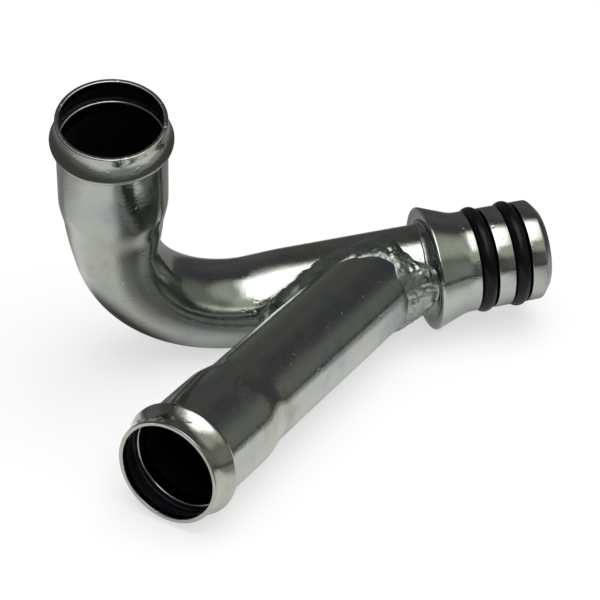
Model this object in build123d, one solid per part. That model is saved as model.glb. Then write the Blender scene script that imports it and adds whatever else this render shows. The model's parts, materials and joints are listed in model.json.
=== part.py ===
from build123d import *
import math
import os

# Y-branch metal fluid line with a two-seal spigot and two beaded hose stubs.
# Lengths are in millimetres and angles in degrees.
# It is built in the fabricator's frame: origin in the collar's back face, +X out through the spigot,
# the main tube running to -X and bending up to +Z. At the end it is turned into the way it lies at rest.

# Tube stock, shared by both tubes
tube_od = 20.0
tube_wall = 1.0

# Main tube: straight out of the spigot, then one bend up to a hose stub
main_straight = 38.3
bend_radius = 30.0
bend_angle = 90.0
stub_rise = 32.7
bend_flattening = 0.11
bend_swelling = 0.01
flatten_before_bend = 8.0
flatten_into_bend = 4.0
round_again_before_end = 5.2
round_again_after_end = 5.0
bend_station_pitch = 4.5

# Hose stub end form, the same on both tubes: expanded neck, rolled bead, plain lip
stub_expansion = 1.0
stub_wall = 0.9
bead_height = 1.2
mouth_to_bead_front = 1.5
mouth_to_bead_crest = 5.3
mouth_to_taper = 21.5
taper_length = 7.5
lip_round = 0.2
bead_inner_round = 0.4

# Branch tube
branch_length = 88.5
branch_angle = 45.0
branch_roll = 23.3
branch_setback = 8.4
port_lip = 0.5

# Turned spigot: its body stands proud of the tube, and its collar flares out from the body
spigot_step = 1.0
collar_flare = 2.75
collar_cone_length = 7.5
collar_rim_round = 0.5
nose_land_length = 3.25
nose_chamfer_length = 1.7
nose_chamfer_depth = 2.0
nose_round = 0.5
wall_under_grooves = 1.1
socket_depth = 6.0
socket_clearance = 0.03

# Seal rings and their grooves
seal_section = 3.5
seal_standout = 0.6
seal_side_room = 0.4
collar_to_first_groove = 11.8
groove_pitch = 7.6
seal_seat_gap = 0.02

# Weld round the branch joint: how far each toe lies from the root of the joint
weld_leg_crotch_on_branch = 9.0
weld_leg_crotch_on_main = 6.5
weld_leg_side_on_branch = 11.0
weld_leg_side_on_main = 1.2
weld_leg_heel_on_branch = 5.0
weld_leg_heel_on_main = 2.2
weld_crown = 0.9
weld_root_depth = 0.8
weld_stations_per_half = 14

# Brazed fillet behind the collar
braze_leg = 2.4
braze_toe_angle = 12.0

# Values that follow from the sizes above
tube_r = tube_od / 2
stub_r = tube_r + stub_expansion
port_r = tube_r - tube_wall - port_lip
spigot_r = tube_r + spigot_step
collar_r = spigot_r + collar_flare
arc_length = bend_radius * math.radians(bend_angle)
neck_length = stub_rise - mouth_to_taper
groove_floor_r = spigot_r + seal_standout - seal_section
groove_width = seal_section + seal_side_room
groove_centres = (collar_to_first_groove, collar_to_first_groove + groove_pitch)
spigot_bore_r = groove_floor_r - wall_under_grooves
shoulder_x = groove_centres[-1] + groove_width / 2 + nose_land_length
spigot_length = shoulder_x + nose_chamfer_length


def smooth_step(t):
    """Rises from 0 to 1 with level ends."""
    t = min(1.0, max(0.0, t))
    return t * t * (3 - 2 * t)


def flattening(s):
    """Share of the full flattening, at a distance s along the centreline from the start of the bend."""
    rise = smooth_step((s + flatten_before_bend) / (flatten_before_bend + flatten_into_bend))
    left = arc_length + round_again_after_end - s
    fall = smooth_step(left / (round_again_before_end + round_again_after_end))
    return min(rise, fall)


def outer_radius(s):
    """Tube radius, before flattening, as it grows through the taper into the hose stub."""
    from_mouth = arc_length + stub_rise - s
    share = smooth_step((from_mouth - mouth_to_taper) / taper_length)
    return stub_r + (tube_r - stub_r) * share


def wall_at(s):
    """Wall thickness, which thins a little where the stub is expanded."""
    from_mouth = arc_length + stub_rise - s
    share = smooth_step((from_mouth - mouth_to_taper) / taper_length)
    return stub_wall + (tube_wall - stub_wall) * share


def centreline(s):
    """Point and direction of the main tube's centreline at a distance s from the start of the bend."""
    turned = min(max(s, 0.0), arc_length) / bend_radius
    direction = Vector(-math.cos(turned), 0, math.sin(turned))
    corner = Vector(-main_straight - bend_radius * math.sin(turned), 0, bend_radius * (1 - math.cos(turned)))
    past = s - arc_length if s > arc_length else min(s, 0.0)
    return corner + direction * past, direction


def bend_solid(inset):
    """Bent and flattened stretch of the main tube, inset from its outer skin by a share of the wall."""
    start = -flatten_before_bend
    end = arc_length + neck_length
    count = max(8, round((end - start) / bend_station_pitch))
    sections = []
    for i in range(count + 1):
        s = start + (end - start) * i / count
        point, direction = centreline(s)
        across = outer_radius(s) * (1 + bend_swelling * flattening(s)) - inset * wall_at(s)
        in_plane = outer_radius(s) * (1 - bend_flattening * flattening(s)) - inset * wall_at(s)
        station = Plane(origin=point, x_dir=(0, 1, 0), z_dir=direction)
        if across - in_plane < 1e-6:
            sections.append(station * Circle(across))
        else:
            sections.append(station * Ellipse(across, in_plane))
    return loft(sections)


def stub_profile(tail_length):
    """Wall section of a hose stub: mouth at height 0, the tube hanging below it.

    tail_length is the length of plain tube below the taper, or None to stop where the taper starts."""
    ri = stub_r - stub_wall
    back = -(mouth_to_bead_crest + bead_height)
    inner_back = -(mouth_to_bead_crest + bead_height - stub_wall)
    crest = -mouth_to_bead_crest
    front = -mouth_to_bead_front
    taper_top = -mouth_to_taper
    taper_foot = -(mouth_to_taper + taper_length)
    lines = []
    if tail_length is not None:
        foot = taper_foot - tail_length
        lines.append(Line((tube_r - tube_wall, foot), (tube_r, foot)))
        lines.append(Line((tube_r, foot), (tube_r, taper_foot)))
        lines.append(Spline((tube_r, taper_foot), (stub_r, taper_top), tangents=[(0, 1), (0, 1)]))
    else:
        lines.append(Line((ri, taper_top), (stub_r, taper_top)))
    lines.append(Line((stub_r, taper_top), (stub_r, back)))
    lines.append(CenterArc((stub_r, crest), bead_height, -90, 90))
    lines.append(Spline((stub_r + bead_height, crest), (stub_r, front), tangents=[(0, 1), (0, 1)]))
    lines.append(Line((stub_r, front), (stub_r, -lip_round)))
    lines.append(CenterArc((stub_r - lip_round, -lip_round), lip_round, 0, 90))
    lines.append(Line((stub_r - lip_round, 0), (ri + lip_round, 0)))
    lines.append(CenterArc((ri + lip_round, -lip_round), lip_round, 90, 90))
    lines.append(Line((ri, -lip_round), (ri, front)))
    inner_crest_r = stub_r + bead_height - stub_wall
    lines.append(Spline((ri, front), (inner_crest_r, crest), tangents=[(0, -1), (0, -1)]))
    lines.append(CenterArc((stub_r, crest), bead_height - stub_wall, -90, 90))
    lines.append(Line((stub_r, inner_back), (ri + bead_inner_round, inner_back)))
    lines.append(CenterArc((ri + bead_inner_round, inner_back - bead_inner_round), bead_inner_round, 90, 90))
    lines.append(Line((ri, inner_back - bead_inner_round), (ri, taper_top)))
    if tail_length is not None:
        inner_tube_r = tube_r - tube_wall
        lines.append(Spline((ri, taper_top), (inner_tube_r, taper_foot), tangents=[(0, -1), (0, -1)]))
        lines.append(Line((inner_tube_r, taper_foot), (inner_tube_r, foot)))
    return make_face(Plane.XZ * Curve(lines))


def hose_stub(tail_length=None):
    """Solid of revolution of the stub's wall section."""
    return revolve(stub_profile(tail_length), axis=Axis.Z, revolution_arc=360)


def along(point, direction):
    """Plane at a point with its height axis along a direction."""
    return Plane(origin=point, z_dir=direction)


def rod(point, direction, radius, length):
    """Solid round bar from a point along a direction."""
    return along(point, direction) * Cylinder(radius, length, align=(Align.CENTER, Align.CENTER, Align.MIN))


# Branch axis: it meets the main axis behind the collar and leans back towards the elbow
lean = math.radians(branch_angle)
roll = math.radians(branch_roll)
joint_point = Vector(-branch_setback, 0, 0)
side_dir = Vector(0, -math.cos(roll), math.sin(roll))
branch_dir = Vector(-math.cos(lean), 0, 0) + side_dir * math.sin(lean)


def make_main_tube():
    """Straight tube, bend and hose stub in one drawn piece, with the port cut for the branch."""
    straight = main_straight - flatten_before_bend + socket_depth
    start = Vector(socket_depth, 0, 0)
    pipe = rod(start, Vector(-1, 0, 0), tube_r, straight) - rod(start, Vector(-1, 0, 0), tube_r - tube_wall, straight)
    bend = bend_solid(0.0) - bend_solid(1.0)
    mouth, up = centreline(arc_length + stub_rise)
    stub = along(mouth, up) * hose_stub()
    port = rod(joint_point, branch_dir, port_r, branch_length / 2)
    return (pipe + bend + stub) - port


def main_envelope():
    """Main tube's outer skin as a filled solid, for what is fitted against it."""
    straight = main_straight - flatten_before_bend + socket_depth
    return rod(Vector(socket_depth, 0, 0), Vector(-1, 0, 0), tube_r, straight) + bend_solid(0.0)


def make_branch_tube(envelope):
    """Branch tube, cut at its foot to the saddle of the main tube."""
    tail = branch_length - mouth_to_taper - taper_length
    mouth = joint_point + branch_dir * branch_length
    return along(mouth, branch_dir) * hose_stub(tail) - envelope


def make_spigot():
    """Turned fitting: flared collar, plain body with two grooves, chamfered nose, bored through."""
    socket_r = tube_r + socket_clearance
    outline = [(0, socket_r), (0, collar_r), (collar_cone_length, spigot_r)]
    for centre in groove_centres:
        near, far = centre - groove_width / 2, centre + groove_width / 2
        outline += [(near, spigot_r), (near, groove_floor_r), (far, groove_floor_r), (far, spigot_r)]
    outline += [(shoulder_x, spigot_r), (spigot_length, spigot_r - nose_chamfer_depth)]
    outline += [(spigot_length, spigot_bore_r), (socket_depth, spigot_bore_r), (socket_depth, socket_r)]
    section = make_face(Polyline(*outline, close=True))
    rim = section.vertices().sort_by(Axis.Y)[-1]
    section = fillet(rim, collar_rim_round)
    nose_edge = section.vertices().filter_by(lambda v: abs(v.X - spigot_length) < 1e-6).sort_by(Axis.Y)[-1]
    section = fillet(nose_edge, nose_round)
    shoulder = section.vertices().filter_by(lambda v: abs(v.X - shoulder_x) < 1e-6)
    section = fillet(shoulder, nose_round)
    return revolve(section, axis=Axis.X, revolution_arc=360)


def make_seal(groove_centre):
    """Rubber ring seated on the floor of its groove."""
    ring_r = groove_floor_r + seal_seat_gap + seal_section / 2
    return Plane(origin=(groove_centre, 0, 0), z_dir=(1, 0, 0)) * Torus(ring_r, seal_section / 2)


def blend_leg(cos_turn, crotch, side, heel):
    """Weld leg between its values in the crotch, at the sides and at the heel of the joint."""
    if cos_turn > 0:
        return side + (crotch - side) * smooth_step(cos_turn)
    return side + (heel - side) * smooth_step(-cos_turn)


def weld_section(turn):
    """Cross-section of the weld at an angle round the branch, from the crotch (0) to the heel (180)."""
    crotch_dir = (Vector(-1, 0, 0) - branch_dir * Vector(-1, 0, 0).dot(branch_dir)).normalized()
    across_dir = branch_dir.cross(crotch_dir)
    around = crotch_dir * math.cos(turn) + across_dir * math.sin(turn)
    cos_turn = math.cos(turn)
    half_lean = math.tan(lean / 2)
    root_rise = tube_r * (cos_turn / half_lean if cos_turn > 0 else -cos_turn * half_lean)
    root = joint_point + branch_dir * root_rise + around * tube_r
    on_branch = blend_leg(cos_turn, weld_leg_crotch_on_branch, weld_leg_side_on_branch, weld_leg_heel_on_branch)
    branch_toe = root + branch_dir * on_branch
    # on the main tube the toe moves along the tube in the crotch and at the heel, and round it at the sides
    spin = math.atan2(root.dot(Vector(1, 0, 0).cross(side_dir)), root.dot(side_dir))
    spin_out = math.copysign(weld_leg_side_on_main / tube_r, spin) * abs(math.sin(turn))
    along_main = -weld_leg_crotch_on_main * cos_turn if cos_turn > 0 else -weld_leg_heel_on_main * cos_turn
    main_out = side_dir * math.cos(spin + spin_out) + Vector(1, 0, 0).cross(side_dir) * math.sin(spin + spin_out)
    main_toe = Vector(root.X + along_main, 0, 0) + main_out * tube_r
    outward = (around + side_dir * math.cos(spin) + Vector(1, 0, 0).cross(side_dir) * math.sin(spin)).normalized()
    crown = (branch_toe + main_toe) * 0.5 + outward * (weld_crown * (0.25 + 0.75 * abs(math.sin(turn))))
    inside = root - outward * weld_root_depth
    return Wire.make_polygon([inside, branch_toe, crown, main_toe], close=True)


def make_weld(envelope, branch_bar):
    """Weld bead run round the saddle joint, less the tubes that it lies on."""
    halves = []
    for first, last in ((0, math.pi), (math.pi, 2 * math.pi)):
        turns = [first + (last - first) * i / weld_stations_per_half for i in range(weld_stations_per_half + 1)]
        halves.append(Solid.make_loft([weld_section(turn) for turn in turns], ruled=True))
    reach = 8 * tube_od
    behind_collar = Location((-reach / 2, 0, 0)) * Box(reach, reach, reach)
    return (halves[0] + halves[1] - envelope - branch_bar) & behind_collar


def make_braze():
    """Hollow fillet of braze in the corner between the tube and the collar's back face."""
    half_arc = math.radians(45 - braze_toe_angle)
    chord = braze_leg * math.sqrt(2)
    sag = chord / 2 * math.tan(half_arc / 2)
    dip = braze_leg / 2 - sag / math.sqrt(2)
    corner = make_face(Curve([
        Line((0, tube_r), (0, tube_r + braze_leg)),
        ThreePointArc((0, tube_r + braze_leg), (-dip, tube_r + dip), (-braze_leg, tube_r)),
        Line((-braze_leg, tube_r), (0, tube_r)),
    ]))
    return revolve(corner, axis=Axis.X, revolution_arc=360)


def lowest(points, up):
    """Point that lies lowest along an up direction."""
    return min(points, key=lambda p: p.dot(up))


def resting_plane(spigot, main_tube, branch_tube):
    """Plane of the surface the part lies on: it touches the collar, the main tube and the branch's bead."""
    groups = [[Vector(*v) for v in shape.tessellate(0.02, 0.05)[0]] for shape in (spigot, main_tube, branch_tube)]
    up = Vector(0, 0, 1)
    for _ in range(12):
        a, b, c = (lowest(points, up) for points in groups)
        up = (b - a).cross(c - a).normalized()
        if up.Z < 0:
            up = up * -1
    heading = (Vector(1, 0, 0) - up * up.X).normalized()
    return Plane(origin=a, x_dir=heading, z_dir=up)


main_skin = main_envelope()
branch_bar = rod(joint_point, branch_dir, tube_r, branch_length / 2)
main_tube = make_main_tube()
branch_tube = make_branch_tube(main_skin)
spigot = make_spigot()
spigot_braze = make_braze()
branch_weld = make_weld(main_skin, branch_bar) - spigot_braze

nodes = {
    "main_tube": main_tube,
    "branch_tube": branch_tube,
    "spigot": spigot,
    "seal_ring_inner": make_seal(groove_centres[0]),
    "seal_ring_outer": make_seal(groove_centres[1]),
    "branch_weld": branch_weld,
    "spigot_braze": spigot_braze,
}

# Turn the whole line into the way it lies, then centre it over its footprint
floor = resting_plane(spigot, main_tube, branch_tube)
lying = {name: floor.to_local_coords(shape) for name, shape in nodes.items()}
box = Compound(children=[Compound(shape.solids()) for shape in lying.values()]).bounding_box()
to_origin = Location((-(box.min.X + box.max.X) / 2, -(box.min.Y + box.max.Y) / 2, -box.min.Z))
lying = {name: to_origin * shape for name, shape in lying.items()}

os.makedirs("parts", exist_ok=True)
for name, shape in lying.items():
    export_step(shape, f"parts/{name}.step")
    print(name, round(shape.volume, 1), "mm3")
print("box", round(box.size.X, 2), round(box.size.Y, 2), round(box.size.Z, 2))
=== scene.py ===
# %% [markdown]
# A Y-branch metal line: a steel tube bent up at one end, a side branch welded into it, and a turned spigot
# with two rubber seal rings brazed onto its other end.
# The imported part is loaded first. It is the fixed frame that every piece below is built on, in metres, so
# nothing has to be moved into place afterwards.

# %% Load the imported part
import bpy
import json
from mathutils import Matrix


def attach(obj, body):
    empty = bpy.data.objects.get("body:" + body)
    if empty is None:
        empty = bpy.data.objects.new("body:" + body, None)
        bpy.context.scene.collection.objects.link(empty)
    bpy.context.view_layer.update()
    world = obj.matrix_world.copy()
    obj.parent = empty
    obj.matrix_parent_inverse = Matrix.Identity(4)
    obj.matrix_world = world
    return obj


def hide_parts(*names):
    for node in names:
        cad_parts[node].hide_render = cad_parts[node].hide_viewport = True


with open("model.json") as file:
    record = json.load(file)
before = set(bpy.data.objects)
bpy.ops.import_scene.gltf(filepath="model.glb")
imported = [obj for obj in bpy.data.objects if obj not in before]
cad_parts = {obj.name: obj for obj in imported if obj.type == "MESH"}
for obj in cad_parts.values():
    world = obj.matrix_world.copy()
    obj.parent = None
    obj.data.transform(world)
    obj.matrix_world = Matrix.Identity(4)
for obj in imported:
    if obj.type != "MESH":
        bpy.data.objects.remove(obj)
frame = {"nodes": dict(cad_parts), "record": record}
print("packed nodes", sorted(frame["nodes"]))

# %% [markdown]
# Dressing a part must not change its size.

# %% Blender's modules
import json
import math

import bmesh
import bpy
from mathutils import Matrix, Vector, noise

mm = 0.001
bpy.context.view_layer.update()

# %% [markdown]
# Colours are written as sRGB hex codes, as a paint chart gives them, and Blender wants them linear.
# Every material is a small tree of nodes. One function that adds a node, sets it and links it keeps each
# tree readable from top to bottom.


# %% Helpers for materials
def linear(code):
    """Linear colour, with full opacity, of an sRGB hex code."""
    shares = [int(code[i:i + 2], 16) / 255 for i in (0, 2, 4)]
    return [c / 12.92 if c <= 0.04045 else ((c + 0.055) / 1.055) ** 2.4 for c in shares] + [1.0]


def add_node(tree, kind, inputs=None, **settings):
    """Adds a shader node. An input is a plain value, or a node or one of its outputs, which is linked."""
    made = tree.nodes.new("ShaderNode" + kind)
    for name, value in settings.items():
        setattr(made, name, value)
    for socket, value in (inputs or {}).items():
        if isinstance(value, bpy.types.Node):
            value = value.outputs[0]
        if isinstance(value, bpy.types.NodeSocket):
            tree.links.new(value, made.inputs[socket])
        else:
            made.inputs[socket].default_value = value
    return made


def new_material(name):
    """Empty node material and its tree."""
    made = bpy.data.materials.new(name)
    made.use_nodes = True
    made.node_tree.nodes.clear()
    return made, made.node_tree


print("white in linear light", linear("ffffff"))

# %% [markdown]
# The photograph looks down on the line from the left of its middle, through a long lens, and a little
# tilted. The place, the lens and the tilt were worked out from the outlines of the tubes, whose ends are
# true circles and whose sides are parallel.

# %% Camera at the photograph's viewing angle
camera_place = Vector((-133.2, -400.1, 284.4)) * mm
camera_aim = Vector((-7.8, -1.9, 27.7)) * mm
camera_roll = 4.15
camera_lens = 146.5
sensor_width = 36.0

camera = bpy.data.objects.new("camera", bpy.data.cameras.new("camera"))
bpy.context.scene.collection.objects.link(camera)
bpy.context.scene.camera = camera
camera.data.lens = camera_lens
camera.data.sensor_width = sensor_width
camera.data.clip_start = 10 * mm
camera.location = camera_place
level_turn = (camera_aim - camera_place).to_track_quat("-Z", "Y").to_matrix()
camera.rotation_euler = (level_turn @ Matrix.Rotation(math.radians(camera_roll), 3, "Z")).to_euler()
print("camera distance, mm", round((camera_aim - camera_place).length / mm))

# %% [markdown]
# Bright plating shows its surroundings more than itself, so the room matters as much as the metal.
# The room can be read in the tubes of the photograph: long soft lights overhead, dim walls with a few
# lighter parts, and pale paper under the line with a darker floor round it.
# A panorama wrapped round the scene could be mirrored instead, but a few named shapes are easier to read and
# to change. Each is a plain mesh that only mirror rays see. The camera sees white paper and nothing else.

# %% Helpers for the stage
bpy.context.scene.view_settings.view_transform = "Standard"


def add_object(name, mesh):
    """Puts a mesh into the scene, at the origin."""
    made = bpy.data.objects.new(name, mesh)
    bpy.context.scene.collection.objects.link(made)
    return made


def add_stage(bm, name, material, mirrored_only=True):
    """Turns a mesh in the making into part of the stage. By default only the metal sees it."""
    mesh = bpy.data.meshes.new(name)
    bm.to_mesh(mesh)
    bm.free()
    mesh.materials.append(material)
    made = add_object(name, mesh)
    if mirrored_only:
        made.visible_camera = False
        made.visible_diffuse = False
        made.visible_shadow = False
    print("stage", name, "faces", len(mesh.polygons))


def direction(azimuth, height):
    """Unit vector towards an azimuth and a height, both in degrees."""
    a, h = math.radians(azimuth), math.radians(height)
    return Vector((math.cos(h) * math.cos(a), math.cos(h) * math.sin(a), math.sin(h)))


print("view transform", bpy.context.scene.view_settings.view_transform)

# %% [markdown]
# The world is white to the camera, and white in mirrors and glass too. As a source of light it is weaker,
# so that the lamps still shape the shadow on the paper.

# %% World
daylight = 0.6


def make_world():
    """White background, and a plain grey as a source of light."""
    world = bpy.data.worlds.new("studio")
    bpy.context.scene.world = world
    world.use_nodes = True
    tree = world.node_tree
    tree.nodes.clear()
    ray = add_node(tree, "LightPath")
    mirrored = add_node(tree, "Math", {0: ray.outputs["Is Glossy Ray"],
                                       1: ray.outputs["Is Transmission Ray"]}, operation="MAXIMUM")
    shown = add_node(tree, "Math", {0: ray.outputs["Is Camera Ray"], 1: mirrored}, operation="MAXIMUM")
    strength = add_node(tree, "MapRange", {"Value": shown, "To Min": daylight, "To Max": 1.0})
    sky = add_node(tree, "Background", {"Color": linear("ffffff"), "Strength": strength})
    add_node(tree, "OutputWorld", {"Surface": sky})


make_world()
print("world", bpy.context.scene.world.name)

# %% [markdown]
# The table is a sheet of white paper. Part of what the camera sees of it is plain white, which keeps it
# white without more light on the metal, and the rest is lit paper, which keeps the line's soft shadow.
# It fades out into the white world, so it has no edge.

# %% Table
paper_radius = 0.9
paper_fade = (0.25, 0.8)
paper_white_seen = 0.6
paper_white_mirrored = 0.15


def make_table():
    """White paper, which fades out far from the part."""
    bm = bmesh.new()
    bmesh.ops.create_circle(bm, cap_ends=True, segments=96, radius=paper_radius)
    made, tree = new_material("table_paper")
    place = add_node(tree, "TexCoord").outputs["Object"]
    far = add_node(tree, "VectorMath", {0: place}, operation="LENGTH")
    fade = add_node(tree, "MapRange", {"Value": far.outputs["Value"], "From Min": paper_fade[0],
                                       "From Max": paper_fade[1]}, interpolation_type="SMOOTHSTEP")
    paper = add_node(tree, "BsdfDiffuse", {"Color": linear("f2f2f1")})
    white = add_node(tree, "Emission", {"Color": linear("ffffff"), "Strength": 1.0})
    ray = add_node(tree, "LightPath")
    mirrored = add_node(tree, "Math", {0: ray.outputs["Is Glossy Ray"],
                                       1: ray.outputs["Is Transmission Ray"]})
    mirrored = add_node(tree, "Math", {0: mirrored, 1: paper_white_mirrored}, operation="MULTIPLY")
    share = add_node(tree, "Math", {0: ray.outputs["Is Camera Ray"], 1: paper_white_seen, 2: mirrored},
                     operation="MULTIPLY_ADD")
    lit = add_node(tree, "MixShader", {0: share, 1: paper, 2: white})
    clear = add_node(tree, "BsdfTransparent")
    mix = add_node(tree, "MixShader", {0: fade, 1: lit, 2: clear})
    add_node(tree, "OutputMaterial", {"Surface": mix})
    add_stage(bm, "table", made, mirrored_only=False)


make_table()

# %% [markdown]
# The room is a dome that glows, painted light for its lit walls: a dim grey with slow clouds, a little violet
# where it is darkest, because the dark stripes in the photograph's tubes are never one even grey. Each
# lighter part of its walls could be a lamp, but a lamp has a hard edge in a mirror. So they are soft round
# patches of glow, added to the dim glow.

# %% Room
room_radius = 3.0
# clouds to a radian, so each is some 34 degrees across; then a place on their ramp, and its colour
room_clouds = 1.7
room_tones = ((0.38, "515156"), (0.64, "636362"))
# share of a lighter part's half width that is evenly bright
wall_core = 0.35
# azimuth and height of the middle, half width in degrees, brightness where 1 is white, and colour
bright_walls = ((-68, 43, 22, 0.52, "f4f6df"), (-25, 18, 46, 0.18, "e3e8d6"), (-18, 56, 30, 0.48, "eef0e4"),
                (110, 2, 34, 0.10, "e2e8d8"), (-50, 2, 36, 0.08, "dde0d4"), (160, 72, 26, 0.6, "f0f2f0"))


def make_room():
    """Dim glow of the room all round, painted light, with a few lighter walls."""
    bm = bmesh.new()
    bmesh.ops.create_uvsphere(bm, u_segments=64, v_segments=32, radius=room_radius)
    bmesh.ops.bisect_plane(bm, geom=bm.verts[:] + bm.edges[:] + bm.faces[:], plane_co=(0, 0, -20 * mm),
                           plane_no=(0, 0, 1), clear_inner=True)
    made, tree = new_material("room_walls_glow")
    place = add_node(tree, "TexCoord").outputs["Object"]
    heading = add_node(tree, "VectorMath", {0: place}, operation="NORMALIZE")
    clouds = add_node(tree, "TexNoise", {"Vector": heading, "Scale": room_clouds, "Detail": 2.0})
    tint = add_node(tree, "ValToRGB", {"Fac": clouds})
    for element, (place_on_ramp, code) in zip(tint.color_ramp.elements, room_tones):
        element.position = place_on_ramp
        element.color = linear(code)
    # painted light: the dim glow of the walls
    total = add_node(tree, "Emission", {"Color": tint, "Strength": 1.0})
    for azimuth, height, spread, level, code in bright_walls:
        facing = add_node(tree, "VectorMath", {0: heading, 1: direction(azimuth, height)},
                          operation="DOT_PRODUCT")
        edge, full = (math.cos(math.radians(spread * part)) for part in (1.0, wall_core))
        share = add_node(tree, "MapRange", {"Value": facing.outputs["Value"], "From Min": edge,
                                            "From Max": full, "To Max": level},
                         interpolation_type="SMOOTHSTEP")
        patch = add_node(tree, "Emission", {"Color": linear(code), "Strength": share})
        total = add_node(tree, "AddShader", {0: total, 1: patch})
    add_node(tree, "OutputMaterial", {"Surface": total})
    add_stage(bm, "room", made)


make_room()

# %% [markdown]
# The floor round the paper is a dim glow, painted light that fades farther out, and painted shade at its
# edges darkens it, coming nearest to the line behind it. Close under the line the painted shade is deepest:
# that is what draws the dark stripe along the foot of a shiny tube. Real shade could do it, with dimmer
# lamps, but then the paper would be grey. So both are painted on one thin sheet over the paper, clear where
# the paper shows, and seen only in the metal.

# %% Painted glow and shade of the floor round the paper
floor_height = 1 * mm
paper_middle = (0.015, -0.01, 0.0)
paper_edge = (0.095, 0.145)
# painted shade at the floor's edges: direction across the table, where the shade starts and where it is full,
# and how full
floor_edge_shades = (((0.12, 1.0, 0.0), 0.030, 0.062, 0.95), ((1.0, 0.0, 0.0), 0.045, 0.085, 0.75),
               ((0.0, -1.0, 0.0), 0.050, 0.076, 0.85))
# painted shade close under the line: its middle, the radius where it is full and where it ends, and how full
floor_shades = (((-0.038, 0.032, 0.0), 0.008, 0.022, 0.9), ((-0.027, -0.004, 0.0), 0.006, 0.022, 0.6),
                ((0.056, 0.031, 0.0), 0.004, 0.016, 0.6))
# painted light: the floor's glow is dimmer farther out, with its brightness at two distances from the middle
# of the paper
floor_light = (0.30, 0.12)
floor_light_span = (0.12, 0.22)


def make_painted_floor_shade():
    """Sheet of painted glow and painted shade that hides the paper from the metal, except round the line."""
    bm = bmesh.new()
    bmesh.ops.create_circle(bm, cap_ends=True, segments=96, radius=room_radius,
                            matrix=Matrix.Translation((0, 0, floor_height)))
    made, tree = new_material("painted_floor_glow_and_shade")
    place = add_node(tree, "TexCoord").outputs["Object"]
    away = add_node(tree, "VectorMath", {0: place, 1: paper_middle}, operation="DISTANCE")
    far = away.outputs["Value"]
    # painted shade: share of the dim glow beyond the paper and at the floor's edges
    dark = add_node(tree, "MapRange", {"Value": far, "From Min": paper_edge[0], "From Max": paper_edge[1]},
                    interpolation_type="SMOOTHSTEP")
    for heading, start, full, share in floor_edge_shades:
        along = add_node(tree, "VectorMath", {0: place, 1: heading}, operation="DOT_PRODUCT")
        step = add_node(tree, "MapRange", {"Value": along.outputs["Value"], "From Min": start,
                                           "From Max": full, "To Max": share},
                        interpolation_type="SMOOTHSTEP")
        dark = add_node(tree, "Math", {0: dark, 1: step}, operation="MAXIMUM")
    shade = None
    for middle, full, none, share in floor_shades:
        away = add_node(tree, "VectorMath", {0: place, 1: middle}, operation="DISTANCE")
        spot = add_node(tree, "MapRange", {"Value": away.outputs["Value"], "From Min": none,
                                           "From Max": full, "To Max": share},
                        interpolation_type="SMOOTHSTEP")
        shade = spot if shade is None else add_node(tree, "Math", {0: shade, 1: spot}, operation="MAXIMUM")
    level = add_node(tree, "MapRange", {"Value": far,
                                        "From Min": floor_light_span[0], "From Max": floor_light_span[1],
                                        "To Min": floor_light[0], "To Max": floor_light[1]},
                     interpolation_type="SMOOTHSTEP")
    clear = add_node(tree, "BsdfTransparent")
    # painted light: the floor's dim glow
    glow = add_node(tree, "Emission", {"Color": linear("e9e8e8"), "Strength": level})
    # painted shade: a dark glow close under the line, where its shadow falls
    black = add_node(tree, "Emission", {"Color": linear("202020"), "Strength": 1.0})
    mix = add_node(tree, "MixShader", {0: dark, 1: clear, 2: glow})
    mix = add_node(tree, "MixShader", {0: shade, 1: mix, 2: black})
    add_node(tree, "OutputMaterial", {"Surface": mix})
    add_stage(bm, "painted_floor_shade_sheet", made)


make_painted_floor_shade()

# %% [markdown]
# The lights are two softboxes, boxes of white cloth with a lamp behind. A cloth is darker towards its edges,
# and a mirror shows that, but a plain area lamp is evenly bright. So each softbox is an area lamp, which
# lights the table and is hidden from mirrors, and a glowing sheet with soft edges that only mirrors see.

# %% Softboxes
lamp_share = 0.6


def sheet_paint(name, sides, level):
    """Glowing cloth. Each side is an axis, where the cloth ends and where it is fully bright."""
    made, tree = new_material(name)
    place = add_node(tree, "SeparateXYZ", {0: add_node(tree, "TexCoord").outputs["Object"]})
    share = None
    for axis, edge, inner in sides:
        step = add_node(tree, "MapRange", {"Value": place.outputs[axis], "From Min": edge,
                                           "From Max": inner}, interpolation_type="SMOOTHSTEP")
        share = step if share is None else add_node(tree, "Math", {0: share, 1: step}, operation="MULTIPLY")
    clear = add_node(tree, "BsdfTransparent")
    glow = add_node(tree, "Emission", {"Color": linear("ffffff"), "Strength": level})
    mix = add_node(tree, "MixShader", {0: share, 1: clear, 2: glow})
    add_node(tree, "OutputMaterial", {"Surface": mix})
    return made


def add_softbox(name, middle, width, depth, fades, level):
    """Softbox that faces down. Its fades are the widths of the soft left, right, near and far edges."""
    lamp = bpy.data.objects.new(name, bpy.data.lights.new(name, "AREA"))
    lamp.data.shape = "RECTANGLE"
    lamp.data.size = width
    lamp.data.size_y = depth
    lamp.data.energy = level * math.pi * width * depth * lamp_share
    lamp.location = middle
    lamp.visible_glossy = False
    bpy.context.scene.collection.objects.link(lamp)
    left, right, near, far = fades
    x0, x1 = middle[0] - width / 2, middle[0] + width / 2
    y0, y1 = middle[1] - depth / 2, middle[1] + depth / 2
    sides = (("X", x0, x0 + left), ("X", x1, x1 - right), ("Y", y0, y0 + near), ("Y", y1, y1 - far))
    bm = bmesh.new()
    bmesh.ops.create_grid(bm, x_segments=1, y_segments=1, size=0.5,
                          matrix=Matrix.Translation(middle) @ Matrix.Diagonal((width, depth, 1, 1)))
    add_stage(bm, name + "_sheet", sheet_paint(name + "_cloth", sides, level))


add_softbox("long_softbox", (-0.13, -0.465, 1.0), 0.60, 1.65, (0.10, 0.12, 0.35, 0.36), 3.2)
add_softbox("side_softbox", (0.30, -0.265, 1.01), 0.54, 1.25, (0.12, 0.40, 0.35, 0.36), 3.4)

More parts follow.
